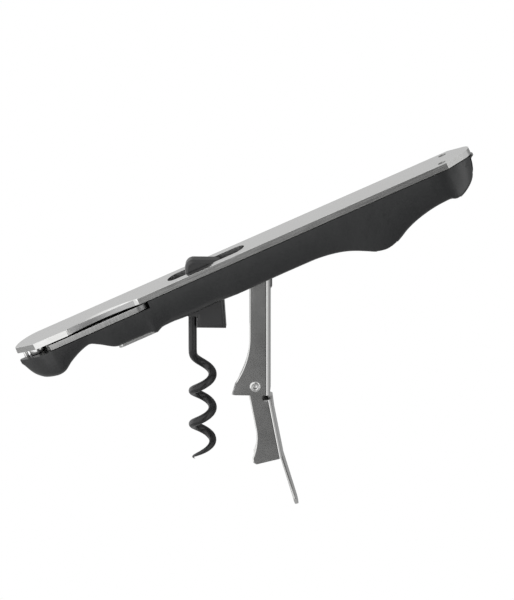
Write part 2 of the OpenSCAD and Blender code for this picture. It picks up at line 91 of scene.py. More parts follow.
def smooth_through(points):
    """A function that runs smoothly through the points and never swings past them."""
    runs = [(y1 - y0) / (x1 - x0) for (x0, y0), (x1, y1) in zip(points, points[1:])]
    slopes = [runs[0]]
    for before, after in zip(runs, runs[1:]):
        slopes.append(2 * before * after / (before + after) if before * after > 0 else 0)
    slopes.append(runs[-1])

    def height(x):
        x = min(max(x, points[0][0]), points[-1][0])
        i = max(k for k in range(len(runs)) if points[k][0] <= x)
        (x0, y0), (x1, y1) = points[i], points[i + 1]
        w = x1 - x0
        t = (x - x0) / w
        return (
            y0 * (1 + 2 * t) * (1 - t) ** 2
            + slopes[i] * w * t * (1 - t) ** 2
            + y1 * t * t * (3 - 2 * t)
            + slopes[i + 1] * w * t * t * (t - 1)
        )

    return height


def set_out(name, data):
    """A new object with that data, put in the scene."""
    made = bpy.data.objects.new(name, data)
    bpy.context.scene.collection.objects.link(made)
    return made


def run_light(mesh, sharpest):
    """Lets light run smoothly over a mesh, up to edges that turn by more than that many degrees."""
    mesh.shade_smooth()
    mesh.set_sharp_from_angle(angle=math.radians(sharpest))


def piece_from(name, points, faces, place=Matrix.Scale(MM, 4)):
    """A piece from points in millimetres, put in place and given outward faces."""
    mesh = bpy.data.meshes.new(name)
    mesh.from_pydata([place @ Vector(point) for point in points], [], faces)
    shape = bmesh.new()
    shape.from_mesh(mesh)
    bmesh.ops.recalc_face_normals(shape, faces=shape.faces)
    shape.to_mesh(mesh)
    shape.free()
    return set_out(name, mesh)


def skin_faces(rows, count):
    """Faces of a closed skin over rows of rings, each of count points."""
    sides = [
        (i * count + j, i * count + (j + 1) % count,
         (i + 1) * count + (j + 1) % count, (i + 1) * count + j)
        for i in range(rows - 1)
        for j in range(count)
    ]
    ends = [tuple(range(count)), tuple((rows - 1) * count + j for j in range(count))]
    return sides + ends


def prism(outline, low, high, seen_from_near=False):
    """A solid in the handle's frame with that outline in plan, or as seen from the near side."""
    count = len(outline)
    if seen_from_near:
        points = [(x, y, z) for y in (low, high) for x, z in outline]
    else:
        points = [(x, y, z) for z in (low, high) for x, y in outline]
    return piece_from("cutter", points, skin_faces(2, count), HANDLE_MM)


def block(x, y, z):
    """A square-edged solid in the handle's frame, from low to high along each direction."""
    return prism([(x[0], y[0]), (x[1], y[0]), (x[1], y[1]), (x[0], y[1])], *z)


def arc(centre, radius, start, end, steps):
    """Points along an arc, with its ends in degrees."""
    turns = [math.radians(start + (end - start) * i / steps) for i in range(steps + 1)]
    return [(centre[0] + radius * math.cos(t), centre[1] + radius * math.sin(t)) for t in turns]


def settle(piece):
    """Replaces a piece's mesh with what its modifiers make of it."""
    made = bpy.data.meshes.new_from_object(
        piece.evaluated_get(bpy.context.evaluated_depsgraph_get()))
    if not made.polygons:
        raise RuntimeError(f"Nothing is left of {piece.name}")
    piece.modifiers.clear()
    piece.data = made


def carve(piece, tools, operation="DIFFERENCE"):
    """Cuts the tools out of a piece, or joins them to it, and takes the tools away."""
    for tool in tools:
        cut = piece.modifiers.new("Cut", "BOOLEAN")
        cut.object = tool
        cut.operation = operation
        cut.solver = "EXACT"
    settle(piece)
    for tool in tools:
        bpy.data.objects.remove(tool)


def soften(piece, radius, segments=3, sharpest=20):
    """Rounds a piece's edges and lets light run smoothly over its curved faces."""
    weld = piece.modifiers.new("Weld", "WELD")
    weld.merge_threshold = ONE_POINT
    flat = piece.modifiers.new("Whole flat faces", "DECIMATE")
    flat.decimate_type = "DISSOLVE"
    flat.angle_limit = ONE_FACE
    edge = piece.modifiers.new("Soft edges", "BEVEL")
    edge.width = radius
    edge.segments = segments
    edge.limit_method = "ANGLE"
    edge.angle_limit = math.radians(sharpest)
    edge.miter_outer = "MITER_ARC"
    edge.use_clamp_overlap = True
    shade = piece.modifiers.new("Even shading", "WEIGHTED_NORMAL")
    shade.keep_sharp = True
    piece.data.shade_smooth()


def tumbled_sheet(name, node, radius):
    """A bent sheet like that CAD node, with the front cut edges of its two sides rounded."""
    # Least slant of a side's normal and most of a cut face's, across the piece, and how far the
    # cut face looks forward
    upright, square, forward = 0.99, 0.05, -0.1
    shape = bmesh.new()
    shape.from_mesh(frame["nodes"][node].data)
    bmesh.ops.remove_doubles(shape, verts=shape.verts, dist=ONE_POINT)
    bmesh.ops.dissolve_limit(
        shape, angle_limit=ONE_FACE, verts=shape.verts, edges=shape.edges)
    rims = []
    for edge in shape.edges:
        if len(edge.link_faces) == 2:
            cut, side = sorted(edge.link_faces, key=lambda face: abs(face.normal.y))
            # An edge between a side and a cut face that is square to it and looks forward
            if (abs(side.normal.y) > upright and abs(cut.normal.y) < square
                    and cut.normal.x < forward):
                rims.append(edge)
    bmesh.ops.bevel(
        shape, geom=rims, offset=radius, segments=3, profile=0.5, affect="EDGES", clamp_overlap=False)
    mesh = bpy.data.meshes.new(name)
    shape.to_mesh(mesh)
    shape.free()
    piece = set_out(name, mesh)
    piece.modifiers.new("Even shading", "WEIGHTED_NORMAL").keep_sharp = True
    run_light(mesh, 35)
    return piece


def moulded_plate(name, outlines, thickness, radius, place):
    """A plate with those outlines in millimetres, the later ones holes, and fully rounded edges."""
    curve = bpy.data.curves.new(name, "CURVE")
    curve.dimensions = "2D"
    curve.fill_mode = "BOTH"
    curve.extrude = thickness / 2 - radius
    curve.bevel_depth = radius
    curve.bevel_resolution = 5
    curve.offset = -radius
    for outline in outlines:
        spline = curve.splines.new("POLY")
        spline.points.add(len(outline) - 1)
        for point, (x, y) in zip(spline.points, outline):
            point.co = (x, y, 0, 1)
        spline.use_cyclic_u = True
    mould = set_out("mould", curve)
    mesh = bpy.data.meshes.new_from_object(
        mould.evaluated_get(bpy.context.evaluated_depsgraph_get()))
    bpy.data.objects.remove(mould)
    mesh.transform(place @ Matrix.Scale(MM, 4))
    run_light(mesh, 40)
    piece = set_out(name, mesh)
    piece.modifiers.new("Even shading", "WEIGHTED_NORMAL").keep_sharp = True
    return piece


def lathe(name, profile, place, steps=48):
    """A turned piece: profile is (radius, height) in millimetres, place where its axis stands."""
    last = 360 - 360 / steps
    points = [
        (x, y, z) for radius, z in profile for x, y in arc((0, 0), radius, 0, last, steps - 1)]
    piece = piece_from(name, points, skin_faces(len(profile), steps), place @ Matrix.Scale(MM, 4))
    run_light(piece.data, 50)
    return piece


# ---------------------------------------------------------------- Grip, in mm from the hub pin

# Flat top, upper end of its sides, and the inset between the two
TOP = 4.5
SIDE_TOP = 4.2
PLATEAU = 0.6
# Far side of the nose, round in plan
NOSE_RADIUS = 7
NOSE_X = -50.95
NOSE_Y = -0.8
# Round right end, and the ledge that stands out from it under the plate
FACET_END = 83.3
TIP_X = 81.4
TIP_RADIUS = 4.2
LEDGE_LOW = 2.4
LEDGE_RADIUS = 4.3
# Pocket of the blade, which turns on its pin
BLADE_PIN_X = -51.9
POCKET_FLOOR = 2.3
POCKET_FAR = 1.6
POCKET_END_X = -19.3
POCKET_END_RADIUS = 3.9
BLADE_SWEEP = 36.3
# Cavity of the levers, with seats for the liners and room for the hub, tongue and step rivet
CAVITY_HALF = 5.1
CAVITY_END = 76.95
CAVITY_ROOF = 5.2
LINER_OUT = 5.6
LINER_SEAT = (-8.05, 24.05)
LINER_FLOOR = -2.85
SLOT = (-10.5, 13.5)
SLOT_HALF = 2.8
GROOVE_TOP = 3.8
RIVET_ROOM = (49.6, 56.2)
RIVET_ROOM_ROOF = 1.6
# Seat of the opener's lip
LIP_SEAT = (-31.7, -17.75)
LIP_SEAT_HALF = 5.05
LIP_TOP = -4.15
# Well beyond the grip on any side, for cutters that run out of it
FAR = 40
# Lowest line of the grip: tip, crown-cap arch, lip seat and stop, middle, finger bulge, right end
GRIP_LOW = [
    (-57.9, 1.4), (-57.2, -0.8), (-56.4, -2.25), (-55.2, -3.5), (-52.4, -4.95), (-49, -5.5),
    (-47, -5.15), (-43.6, -3.05), (-39.5, -1.2), (-36.8, -0.55), (-34.6, -1.6), (-29.2, -4.5),
    (-18.6, -4.55), (-18, -5.5), (-15.4, -4.5), (-7.6, -4.85), (4.6, -4.6), (11.9, -4.55),
    (24, -4.4), (32, -4.42), (35.3, -4.65), (37.8, -5), (40, -5.45), (42.2, -6.1), (44.3, -6.95),
    (47.3, -8.45), (49.3, -9.5), (51, -10), (52.6, -10.2), (54.2, -10), (55.6, -9.6),
    (57.2, -8.9), (60.4, -7.2), (63.5, -6), (66.4, -5.2), (69.1, -4.65), (71.8, -4.3),
    (75.4, -4.15), (76.4, -4.8), (77.8, -4.95), (79.3, -4.45), (80.9, -3.55), (82.1, -2.65),
    (83.2, -1.45), (83.9, -0.2), (84.5, 2.4)]
# Where the lower edges are narrow (0), as round the arch, or wide (1)
EDGE_WIDTHS = [(-50, 1), (-46, 0), (-16, 0), (-12, 1), (2, 1), (8, 0)]
# Lean of a side inwards, in mm, at shares of its depth: slightly hollow, then drawn in below
DRAFT = [(0, 0.05), (0.12, 0.02), (0.27, 0), (0.45, 0.03), (0.65, 0.1), (0.85, 0.22)]
# Plan of the grip's near side at the nose and of both sides at the right end, under the
# plate's straight facets: moulded round, with no corner
NOSE_PLAN = smooth_through([
    (-57.9, -0.97), (-56.4, -2.3), (-54.4, -4), (-52.2, -5.35), (-50, -6), (-47.5, -6.2)])
NOSE_PLAN_END = -47.5
END_PLAN = smooth_through([
    (72, 6.2), (75, 6.1), (77.2, 5.8), (79.2, 5.3), (81, 4.75), (82.4, 4.2), (83.3, 3.74)])


def grip_sides(u):
    """Near and far side of the grip at a place along the handle."""
    half = END_PLAN(u) if u < FACET_END else math.sqrt(TIP_RADIUS ** 2 - (u - TIP_X) ** 2)
    near = NOSE_PLAN(u) if u < NOSE_PLAN_END else -half
    far = half
    if u < NOSE_X:
        far = NOSE_Y + math.sqrt(NOSE_RADIUS ** 2 - (u - NOSE_X) ** 2)
    return near, far


def grip_section(u, low, edge_range, steps):
    """One closed section of the grip: near side, rounded underside, far side and flat top.
    edge_range is the narrow and the wide radius of its lower edges, in mm."""
    near, far = grip_sides(u)
    width = far - near
    edge = min(
        lookup(u, [(x, edge_range[wide]) for x, wide in EDGE_WIDTHS]),
        0.45 * (SIDE_TOP - low),
        0.45 * width)
    inset = min(PLATEAU, 0.3 * width)
    depth = SIDE_TOP - low - edge
    # A narrow end leans in less
    crown = min(1, width / 12)
    side = [(crown * lean, SIDE_TOP - depth * down) for down, lean in DRAFT]
    foot = 0.4 * crown
    ring = [(near + inset, TOP), (near + 0.37 * inset, SIDE_TOP + 0.18)]
    ring += [(near + lean, z) for lean, z in side]
    ring += arc((near + foot + edge, low + edge), edge, 184, 270, steps)
    ring += arc((far - foot - edge, low + edge), edge, 270, 356, steps)
    ring += [(far - lean, z) for lean, z in reversed(side)]
    ring += [(far - 0.37 * inset, SIDE_TOP + 0.18), (far - inset, TOP)]
    return [(u, y, z) for y, z in ring]


def pocket_outline():
    """Plan of the blade's pocket: open to the near side, with the sweep of the blade's point."""
    sweep = [
        point for point in arc((BLADE_PIN_X, 0), BLADE_SWEEP, -60, 0, 60)
        if point[0] > POCKET_END_X and point[1] < POCKET_FAR - POCKET_END_RADIUS]
    end = arc((POCKET_END_X, POCKET_FAR - POCKET_END_RADIUS), POCKET_END_RADIUS, 0, 90, 16)
    left, nose = -FAR - 30, -48
    return (
        [(left, -FAR), (POCKET_END_X, -FAR)] + sweep + end
        + [(nose, POCKET_FAR), (nose, FAR), (left, FAR)])


# ---------------------------------------------------------------- Finishes

def linear(code):
    """An sRGB hex colour as linear red, green, blue and alpha."""
    parts = [int(code[i:i + 2], 16) / 255 for i in (1, 3, 5)]
    return [p / 12.92 if p <= 0.04045 else ((p + 0.055) / 1.055) ** 2.4 for p in parts] + [1]


def shade_of(colour, share):
    """A colour made darker or lighter by a share of itself."""
    return [min(1, part * share) for part in colour[:3]] + [1]


def add_node(tree, kind, feeds=None, stops=None, **settings):
    """Adds a node with its settings; feeds gives each input a value or the output that feeds it."""
    node = tree.nodes.new(kind)
    for name, value in settings.items():
        setattr(node, name, value)
    for name, value in (feeds or {}).items():
        if isinstance(value, bpy.types.NodeSocket):
            tree.links.new(value, node.inputs[name])
        else:
            node.inputs[name].default_value = value
    if stops:
        ramp = node.color_ramp.elements
        while len(ramp) < len(stops):
            ramp.new(1)
        for element, (place, level) in zip(ramp, stops):
            element.position = place
            element.color = (level, level, level, 1)
    return node


def new_finish(name):
    """An empty material with its shader, ready for a pattern."""
    finish = bpy.data.materials.new(name)
    finish.use_nodes = True
    tree = finish.node_tree
    tree.nodes.clear()
    shader = add_node(tree, "ShaderNodeBsdfPrincipled")
    add_node(tree, "ShaderNodeOutputMaterial", {"Surface": shader.outputs[0]})
    return finish, tree, shader


def worked_metal(name, colour, grain, turn, roughness, contrast, depth):
    """A metal with a worked surface. grain is the size in millimetres of one scratch along the
    piece, across it and up; turn tips the piece's direction; depth is the scratches' depth."""
    finish, tree, shader = new_finish(name)
    spot = add_node(tree, "ShaderNodeTexCoord").outputs["Object"]
    along = add_node(tree, "ShaderNodeMapping", {
        "Vector": spot, "Rotation": (0, -turn, 0), "Scale": [size * MM for size in grain]},
        vector_type="TEXTURE").outputs[0]
    scratch = add_node(tree, "ShaderNodeTexNoise", {
        "Vector": along, "Scale": 1.0, "Detail": 3.0, "Roughness": 0.6}).outputs[0]
    # Slow clouding about 7 mm across, as left by handling and the polishing belt
    cloud = add_node(tree, "ShaderNodeTexNoise", {
        "Vector": spot, "Scale": 1 / (7 * MM), "Detail": 2.0}).outputs[0]
    tone = add_node(tree, "ShaderNodeMix", {
        0: scratch, 6: shade_of(colour, 1 - contrast), 7: shade_of(colour, 1 + contrast)},
        data_type="RGBA").outputs[2]
    matt = add_node(tree, "ShaderNodeMapRange", {
        "Value": scratch, "From Min": 0.3, "From Max": 0.7,
        "To Min": roughness[0], "To Max": roughness[1]}).outputs[0]
    worn = add_node(tree, "ShaderNodeMath", {
        0: cloud, 1: 0.08, 2: -0.04}, operation="MULTIPLY_ADD").outputs[0]
    even = add_node(tree, "ShaderNodeMath", {0: matt, 1: worn}, operation="ADD").outputs[0]
    relief = add_node(tree, "ShaderNodeBump", {
        "Height": scratch, "Strength": 0.25, "Distance": depth * MM}).outputs[0]
    shader.inputs["Metallic"].default_value = 1
    tree.links.new(tone, shader.inputs["Base Color"])
    tree.links.new(even, shader.inputs["Roughness"])
    tree.links.new(relief, shader.inputs["Normal"])
    return finish


def dull_walls_with_painted_shade(metal, along, across, tone, roughness):
    """Makes the upright walls of a handle's piece darker and matt, where they are
    within those places along the handle and across it: each a middle and a reach in mm. The darker
    tone is painted shade."""
    tree = metal.node_tree
    shader = next(node for node in tree.nodes if node.type == "BSDF_PRINCIPLED")
    coordinate = add_node(tree, "ShaderNodeTexCoord").outputs
    place = add_node(tree, "ShaderNodeMapping", {
        "Vector": coordinate["Object"], "Location": HUB, "Rotation": (0, -TILT, 0),
        "Scale": (MM, MM, MM)}, vector_type="TEXTURE").outputs[0]
    part = add_node(tree, "ShaderNodeSeparateXYZ", {"Vector": place}).outputs
    facing = add_node(tree, "ShaderNodeVectorMath", {
        0: coordinate["Normal"], 1: UP}, operation="DOT_PRODUCT").outputs["Value"]
    wall = 1.0
    for value, middle, reach in ((facing, 0, 0.5), (part["X"], *along), (part["Y"], *across)):
        near = add_node(tree, "ShaderNodeMath", {
            0: value, 1: middle, 2: reach}, operation="COMPARE").outputs[0]
        wall = add_node(tree, "ShaderNodeMath", {0: near, 1: wall}, operation="MULTIPLY").outputs[0]
    # Painted shade: the walls' base colour is set to a darker tone, and their roughness to a matt one
    for name, dull_value in (("Base Color", tone), ("Roughness", roughness)):
        socket = shader.inputs[name]
        blend = add_node(tree, "ShaderNodeMix", {
            0: wall, 6: socket.links[0].from_socket, 7: (dull_value, dull_value, dull_value, 1)},
            data_type="RGBA")
        tree.links.new(blend.outputs[2], socket)


def dark_plastic(name, colour, grain, roughness, depth, ior, waves=0):
    """A dark moulded or coated surface. grain is the size in millimetres of its texture's grains,
    depth their depth, and waves the depth of slow waves in it 4 mm across."""
    finish, tree, shader = new_finish(name)
    spot = add_node(tree, "ShaderNodeTexCoord").outputs["Object"]
    grains = add_node(tree, "ShaderNodeTexNoise", {
        "Vector": spot, "Scale": 1 / (grain * MM), "Detail": 2.0, "Roughness": 0.55}).outputs[0]
    cloud = add_node(tree, "ShaderNodeTexNoise", {
        "Vector": spot, "Scale": 1 / (4 * MM), "Detail": 3.0}).outputs[0]
    tone = add_node(tree, "ShaderNodeMix", {
        0: cloud, 6: shade_of(colour, 0.85), 7: shade_of(colour, 1.15)},
        data_type="RGBA").outputs[2]
    matt = add_node(tree, "ShaderNodeMapRange", {
        "Value": grains, "From Min": 0.3, "From Max": 0.7,
        "To Min": roughness[0], "To Max": roughness[1]}).outputs[0]
    wavy = add_node(tree, "ShaderNodeBump", {
        "Height": cloud, "Strength": 1.0, "Distance": waves * MM}).outputs[0]
    relief = add_node(tree, "ShaderNodeBump", {
        "Height": grains, "Strength": 0.5, "Distance": depth * MM, "Normal": wavy}).outputs[0]
    shader.inputs["IOR"].default_value = ior
    tree.links.new(tone, shader.inputs["Base Color"])
    tree.links.new(matt, shader.inputs["Roughness"])
    tree.links.new(relief, shader.inputs["Normal"])
    return finish


def dress(piece, finish, body=None):
    """Gives a piece its finish and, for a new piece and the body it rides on."""
    piece.data.materials.clear()
    piece.data.materials.append(finish)
    if body:
        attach(piece, body)


def fastener_finish(colours):
    """Turned and barrel-polished steel, shared by pins, rivets and washers."""
    name = "Barrel-polished steel rod"
    # Tumbling leaves no direction, only fine pits 0.15 mm apart, so the shine is soft and even
    return bpy.data.materials.get(name) or worked_metal(
        name, colours.fastener_steel, (0.15, 0.15, 0.15), 0, (0.18, 0.3), 0.06, 0.004)


# ---------------------------------------------------------------- Sizes, colours and studio

def length(name, description, default):
    """A length that a user can change, in metres."""
    return FloatProperty(
        name=name, description=description, default=default, min=0, precision=5,
        subtype="DISTANCE", unit="LENGTH")


def colour(name, description, code):
    """A colour that a user can change."""
    return FloatVectorProperty(
        name=name, description=description, default=linear(code)[:3], size=3, min=0, max=1,
        subtype="COLOR")


def level(name, description, default):
    """A brightness that a user can change, where 1 shows a colour as it is written."""
    return FloatProperty(name=name, description=description, default=default, min=0)


class CorkscrewSizes(bpy.types.PropertyGroup):
    """Edges and fineness of the corkscrew's pieces"""

    plate_edge: length("Plate edge", "Radius of the top plate's blanked and tumbled edges", 0.15 * MM)
    lever_edge: length("Lever edge", "Radius of the levers' blanked and tumbled edges", 0.35 * MM)
    blade_edge: length("Blade edge", "Radius of the blade's ground edges", 0.12 * MM)
    hub_edge: length("Hub edge", "Radius of the moulded hub's edges", 1.0 * MM)
    fastener_edge: length("Fastener edge", "Radius of the pins', screws' and washers' edges", 0.1 * MM)
    grip_edge: length("Grip edge", "Radius of the grip's long lower edges", 2.2 * MM)
    arch_edge: length("Arch edge", "Radius of the grip's lower edges at the crown-cap arch", 0.8 * MM)
    grip_step: length("Grip step", "Distance between sections of the grip's skin", 0.47 * MM)
    wire: length("Wire", "Diameter of the worm's wire", 2.4 * MM)
    coil: length("Coil radius", "Radius of the worm's centreline", 2.85 * MM)
    pitch: length("Pitch", "Rise of the worm in one turn", 10 * MM)
    point: length("Point", "Length over which the worm's wire narrows to its point", 7 * MM)
    wire_sides: IntProperty(
        name="Wire sides", description="Faces round the worm's wire", default=24, min=8)


class CorkscrewColours(bpy.types.PropertyGroup):
    """Colours of the corkscrew's materials"""

    plate_steel: colour("Plate", "Brushed stainless strip of the top plate", "#BCBCBB")
    lever_steel: colour("Levers", "Tumbled steel sheet of the two levers", "#ADADAC")
    blade_steel: colour("Blade", "Ground steel of the foil blade and the opener's lip", "#B9B9B8")
    fastener_steel: colour("Fasteners", "Polished steel of pins, rivets and screws", "#B4B4B3")
    grip_plastic: colour("Grip", "Textured ABS of the grip", "#161718")
    hub_plastic: colour("Hub", "Glass-filled nylon of the hub", "#1D1D1E")
    worm_coating: colour("Worm", "Low-friction coating of the worm", "#1E1E1F")
    floor: colour("Floor", "Pale studio floor", "#F4F4F4")


class CorkscrewStudio(bpy.types.PropertyGroup):
    """Light and camera of the studio"""

    fill: level("Fill", "Light from all round", 0.55)
    key: level("Key lamp", "Light of the lamp above the left shoulder", 0.45)
    rim: level("Side lamp", "Light of the lamp on the right", 0.2)
    back: level("Back wall", "Brightness that metal reflects from behind and above", 0.85)
    left: level("Left screen", "Brightness that metal reflects from the left", 2.0)
    right: level("Right screen", "Brightness that metal reflects from the right", 0.95)
    right_front: level("Right front screen", "Brightness that bends reflect from the right front", 3.0)
    behind: level("Far end", "Brightness that metal reflects from straight behind", 0.4)
    front: level("Dark front", "Brightness that metal reflects from the camera's side", 0.21)
    below: level("Table", "Brightness that metal reflects from beyond the floor", 0.5)
    distance: length("Camera distance", "From the camera to the corkscrew", 1.8)
    floor_drop: length("Floor", "Depth of the floor below the upper lever's foot", 0.3)
    camera_turn: FloatProperty(
        name="Camera turn", description="Turn of the camera to the right of the near side",
        default=math.radians(2.5), subtype="ANGLE", unit="ROTATION")
    camera_lift: FloatProperty(
        name="Camera lift", description="Height of the camera above level, as an angle",
        default=math.radians(17), subtype="ANGLE", unit="ROTATION")


# ---------------------------------------------------------------- Pieces

class CORKSCREW_OT_top_plate(bpy.types.Operator):
    """Finishes the top plate and its studs, and turns its end screws"""

    bl_idname = "corkscrew.top_plate"
    bl_label = "Top plate"

    # Middle and reach of the punched walls along the handle and across it, in mm
    PUNCHED_X = (9, 50)
    PUNCHED_Y = (0, 5.45)
    # Painted shade: the punched walls' darker tone stands in for the shade in the notch and the hole
    PUNCHED_SHADE_TONE = 0.36
    PUNCHED_ROUGHNESS = 0.42
    # Half section of an end screw: shank, head and the socket in its top
    SCREW = [
        (0.001, 2.5), (0.5, 2.5), (0.5, 4.5), (1.1, 4.5), (1.1, 6.22), (1.02, 6.3), (0.85, 6.28),
        (0.68, 5.8), (0.6, 5.72), (0.001, 5.7)]
    SCREW_X = 77.1
    SCREW_Y = 3.9

    def execute(self, context):
        sizes, colours = context.scene.corkscrew_sizes, context.scene.corkscrew_colours
        # Stainless strip brushed with a fine belt along the handle: pale, with lengthwise
        # streaks. Real streaks are 0.03 mm wide and are drawn at 0.25 mm so that they show
        strip = worked_metal(
            "Brushed stainless strip", colours.plate_steel, (9, 0.25, 0.25), TILT,
            (0.12, 0.2), 0.05, 0.004)
        # The walls of the notch and of the oval hole aren't brushed, so they are matt; their darker
        # tone is painted shade for the notch and the hole
        dull_walls_with_painted_shade(
            strip, self.PUNCHED_X, self.PUNCHED_Y, self.PUNCHED_SHADE_TONE, self.PUNCHED_ROUGHNESS)
        plate = frame["nodes"]["top_plate"]
        soften(plate, sizes.plate_edge)
        dress(plate, strip)
        soften(frame["nodes"]["plate_studs"], sizes.fastener_edge, 2)
        dress(frame["nodes"]["plate_studs"], fastener_finish(colours))
        screws = [
            lathe(
                "end_screws", self.SCREW,
                HANDLE @ Matrix.Translation(Vector((self.SCREW_X, y, 0)) * MM))
            for y in (-self.SCREW_Y, self.SCREW_Y)]
        carve(screws[0], screws[1:], "UNION")
        # Painted shade: the screws' steel is darkened all over, standing in for the shade in their
        # recesses, with a dull shine
        shaded_screw_steel = worked_metal(
            "Screw steel darkened as painted shade", shade_of(colours.fastener_steel, 0.35), (0.15, 0.15, 0.15), 0,
            (0.25, 0.35), 0.06, 0.004)
        dress(screws[0], shaded_screw_steel, "handle")
        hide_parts("plate_screws")
        return {"FINISHED"}


class CORKSCREW_OT_grip(bpy.types.Operator):
    """Moulds the grip as one smooth skin and cuts its pocket, slot, cavity and seats"""

    bl_idname = "corkscrew.grip"
    bl_label = "Grip"

    # Points round each lower edge of a section
    EDGE_STEPS = 12
    # The cavity as seen from the near side, open below
    CAVITY = [
        (14.6, CAVITY_ROOF), (14.2, 4.3), (10.3, -4.4), (8, -9.5), (8, -FAR),
        (CAVITY_END + 1, -FAR), (CAVITY_END + 1, 0), (CAVITY_END, 1), (CAVITY_END, CAVITY_ROOF)]

    def execute(self, context):
        sizes, colours = context.scene.corkscrew_sizes, context.scene.corkscrew_colours
        under = smooth_through(GRIP_LOW)
        first, last = GRIP_LOW[0][0], GRIP_LOW[-1][0]
        count = math.ceil((last - first) * MM / sizes.grip_step)
        edges = (sizes.arch_edge / MM, sizes.grip_edge / MM)
        points = []
        for i in range(count + 1):
            u = first + (last - first) * i / count
            # The lowest line, evened out over half a millimetre to each side
            low = (under(u - 0.5) + 2 * under(u) + under(u + 0.5)) / 4
            points += grip_section(u, low, edges, self.EDGE_STEPS)
        ring = len(points) // (count + 1)
        grip = piece_from("grip_skin", points, skin_faces(count + 1, ring), HANDLE_MM)
        carve(grip, [self.ledge()], "UNION")
        carve(grip, [
            prism(pocket_outline(), POCKET_FLOOR, TOP + 1),
            self.nose_fall(),
            prism(self.CAVITY, -CAVITY_HALF, CAVITY_HALF, True),
            block(SLOT, (-SLOT_HALF, SLOT_HALF), (-FAR, FAR)),
            block((CAVITY_END - 1, CAVITY_END + 20), (-SLOT_HALF, SLOT_HALF), (-FAR, GROOVE_TOP)),
            block(RIVET_ROOM, (-LINER_OUT, LINER_OUT), (-FAR, RIVET_ROOM_ROOF)),
            block(LINER_SEAT, (-LINER_OUT, -CAVITY_HALF), (LINER_FLOOR, TOP + 1)),
            block(LINER_SEAT, (CAVITY_HALF, LINER_OUT), (LINER_FLOOR, TOP + 1)),
            block(LIP_SEAT, (-LIP_SEAT_HALF, LIP_SEAT_HALF), (LIP_TOP - 3, LIP_TOP)),
        ])
        run_light(grip.data, 38)
        # ABS moulded in a spark-eroded mould: a fine even grain that breaks up reflections, over
        # slow waves left by shrinkage. Real grains are 0.08 mm and are drawn at 0.3 mm so that
        # they show
        abs_plastic = dark_plastic(
            "Textured black ABS", colours.grip_plastic, 0.3, (0.28, 0.38), 0.006, 1.53, 0.05)
        dress(grip, abs_plastic, "handle")
        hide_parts("grip")
        return {"FINISHED"}

    def ledge(self):
        """Ledge under the plate's round tip, rounded below."""
        # How far each level's radius falls short, and its height
        levels = [
            (0.6, LEDGE_LOW - 0.3), (0.2, LEDGE_LOW - 0.15), (0, LEDGE_LOW + 0.2), (0, SIDE_TOP)]
        points = [
            (x, y, z) for short, z in levels
            for x, y in arc((TIP_X, 0), LEDGE_RADIUS - short, 0, 354, 59)]
        return piece_from("cutter", points, skin_faces(len(levels), 60), HANDLE_MM)

    def nose_fall(self):
        """Wedge that takes the far side of the nose away behind the stop pin."""
        start, reach, fall = -8, 20, 0.4
        line = POCKET_FLOOR + fall * 0.3
        section = [
            (start, line - fall * start), (start, reach), (reach, reach), (reach, line - fall * reach)]
        ends = (-FAR - 31, BLADE_PIN_X - 3)
        points = [(x, y, z) for x in ends for y, z in section]
        return piece_from("cutter", points, skin_faces(2, 4), HANDLE_MM)


class CORKSCREW_OT_hub(bpy.types.Operator):
    """Moulds the worm's hub and finishes its pin, washers and the side liners"""

    bl_idname = "corkscrew.hub"
    bl_label = "Hub and liners"

    # The hub as seen from the near side, in mm from its pin
    LEFT = -5.9
    RIGHT = 5.2
    TOP = 8.4
    FOOT = -11.9
    FOOT_LEFT = -2.55
    CHIN = -8.7
    SHOULDER = 2.3
    BORE = 1.55
    THICKNESS = 5

    def execute(self, context):
        sizes, colours = context.scene.corkscrew_sizes, context.scene.corkscrew_colours
        # Glass-filled nylon from a polished mould: a little paler than the grip, even but for a
        # faint mottle from the fibres
        nylon = dark_plastic(
            "Glass-filled black nylon", colours.hub_plastic, 0.5, (0.3, 0.4), 0.005, 1.53)
        shoulder = self.TOP - self.SHOULDER
        side = arc((self.LEFT + self.SHOULDER, shoulder), self.SHOULDER, 180, 90, 12)
        side += arc((self.RIGHT - self.SHOULDER, shoulder), self.SHOULDER, 90, 0, 12)
        side += [
            (self.RIGHT, -3), (self.RIGHT + 0.6, self.FOOT), (self.FOOT_LEFT, self.FOOT),
            (self.FOOT_LEFT, self.CHIN), (self.LEFT + 1, self.CHIN),
            (self.LEFT + 0.5, self.CHIN + 0.4), (self.LEFT, -7)]
        hub = moulded_plate(
            "hub_moulded", [side, arc((0, 0), self.BORE, 0, 345, 23)], self.THICKNESS,
            sizes.hub_edge / MM, Matrix.Translation(HUB) @ ACROSS.inverted())
        dress(hub, nylon, "worm")
        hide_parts("worm_hub")
        # Cold-rolled strip: a smooth mill finish with faint rolling lines along the handle
        rolled = worked_metal(
            "Cold-rolled steel strip", colours.fastener_steel, (4, 0.3, 0.3), TILT,
            (0.25, 0.35), 0.05, 0.004)
        for name in ("liner_near", "liner_far"):
            dress(frame["nodes"][name], rolled)
        for name in ("hub_pin", "hub_washers", "lever_pin", "lever_spacer"):
            soften(frame["nodes"][name], sizes.fastener_edge, 2)
            dress(frame["nodes"][name], fastener_finish(colours))
        return {"FINISHED"}


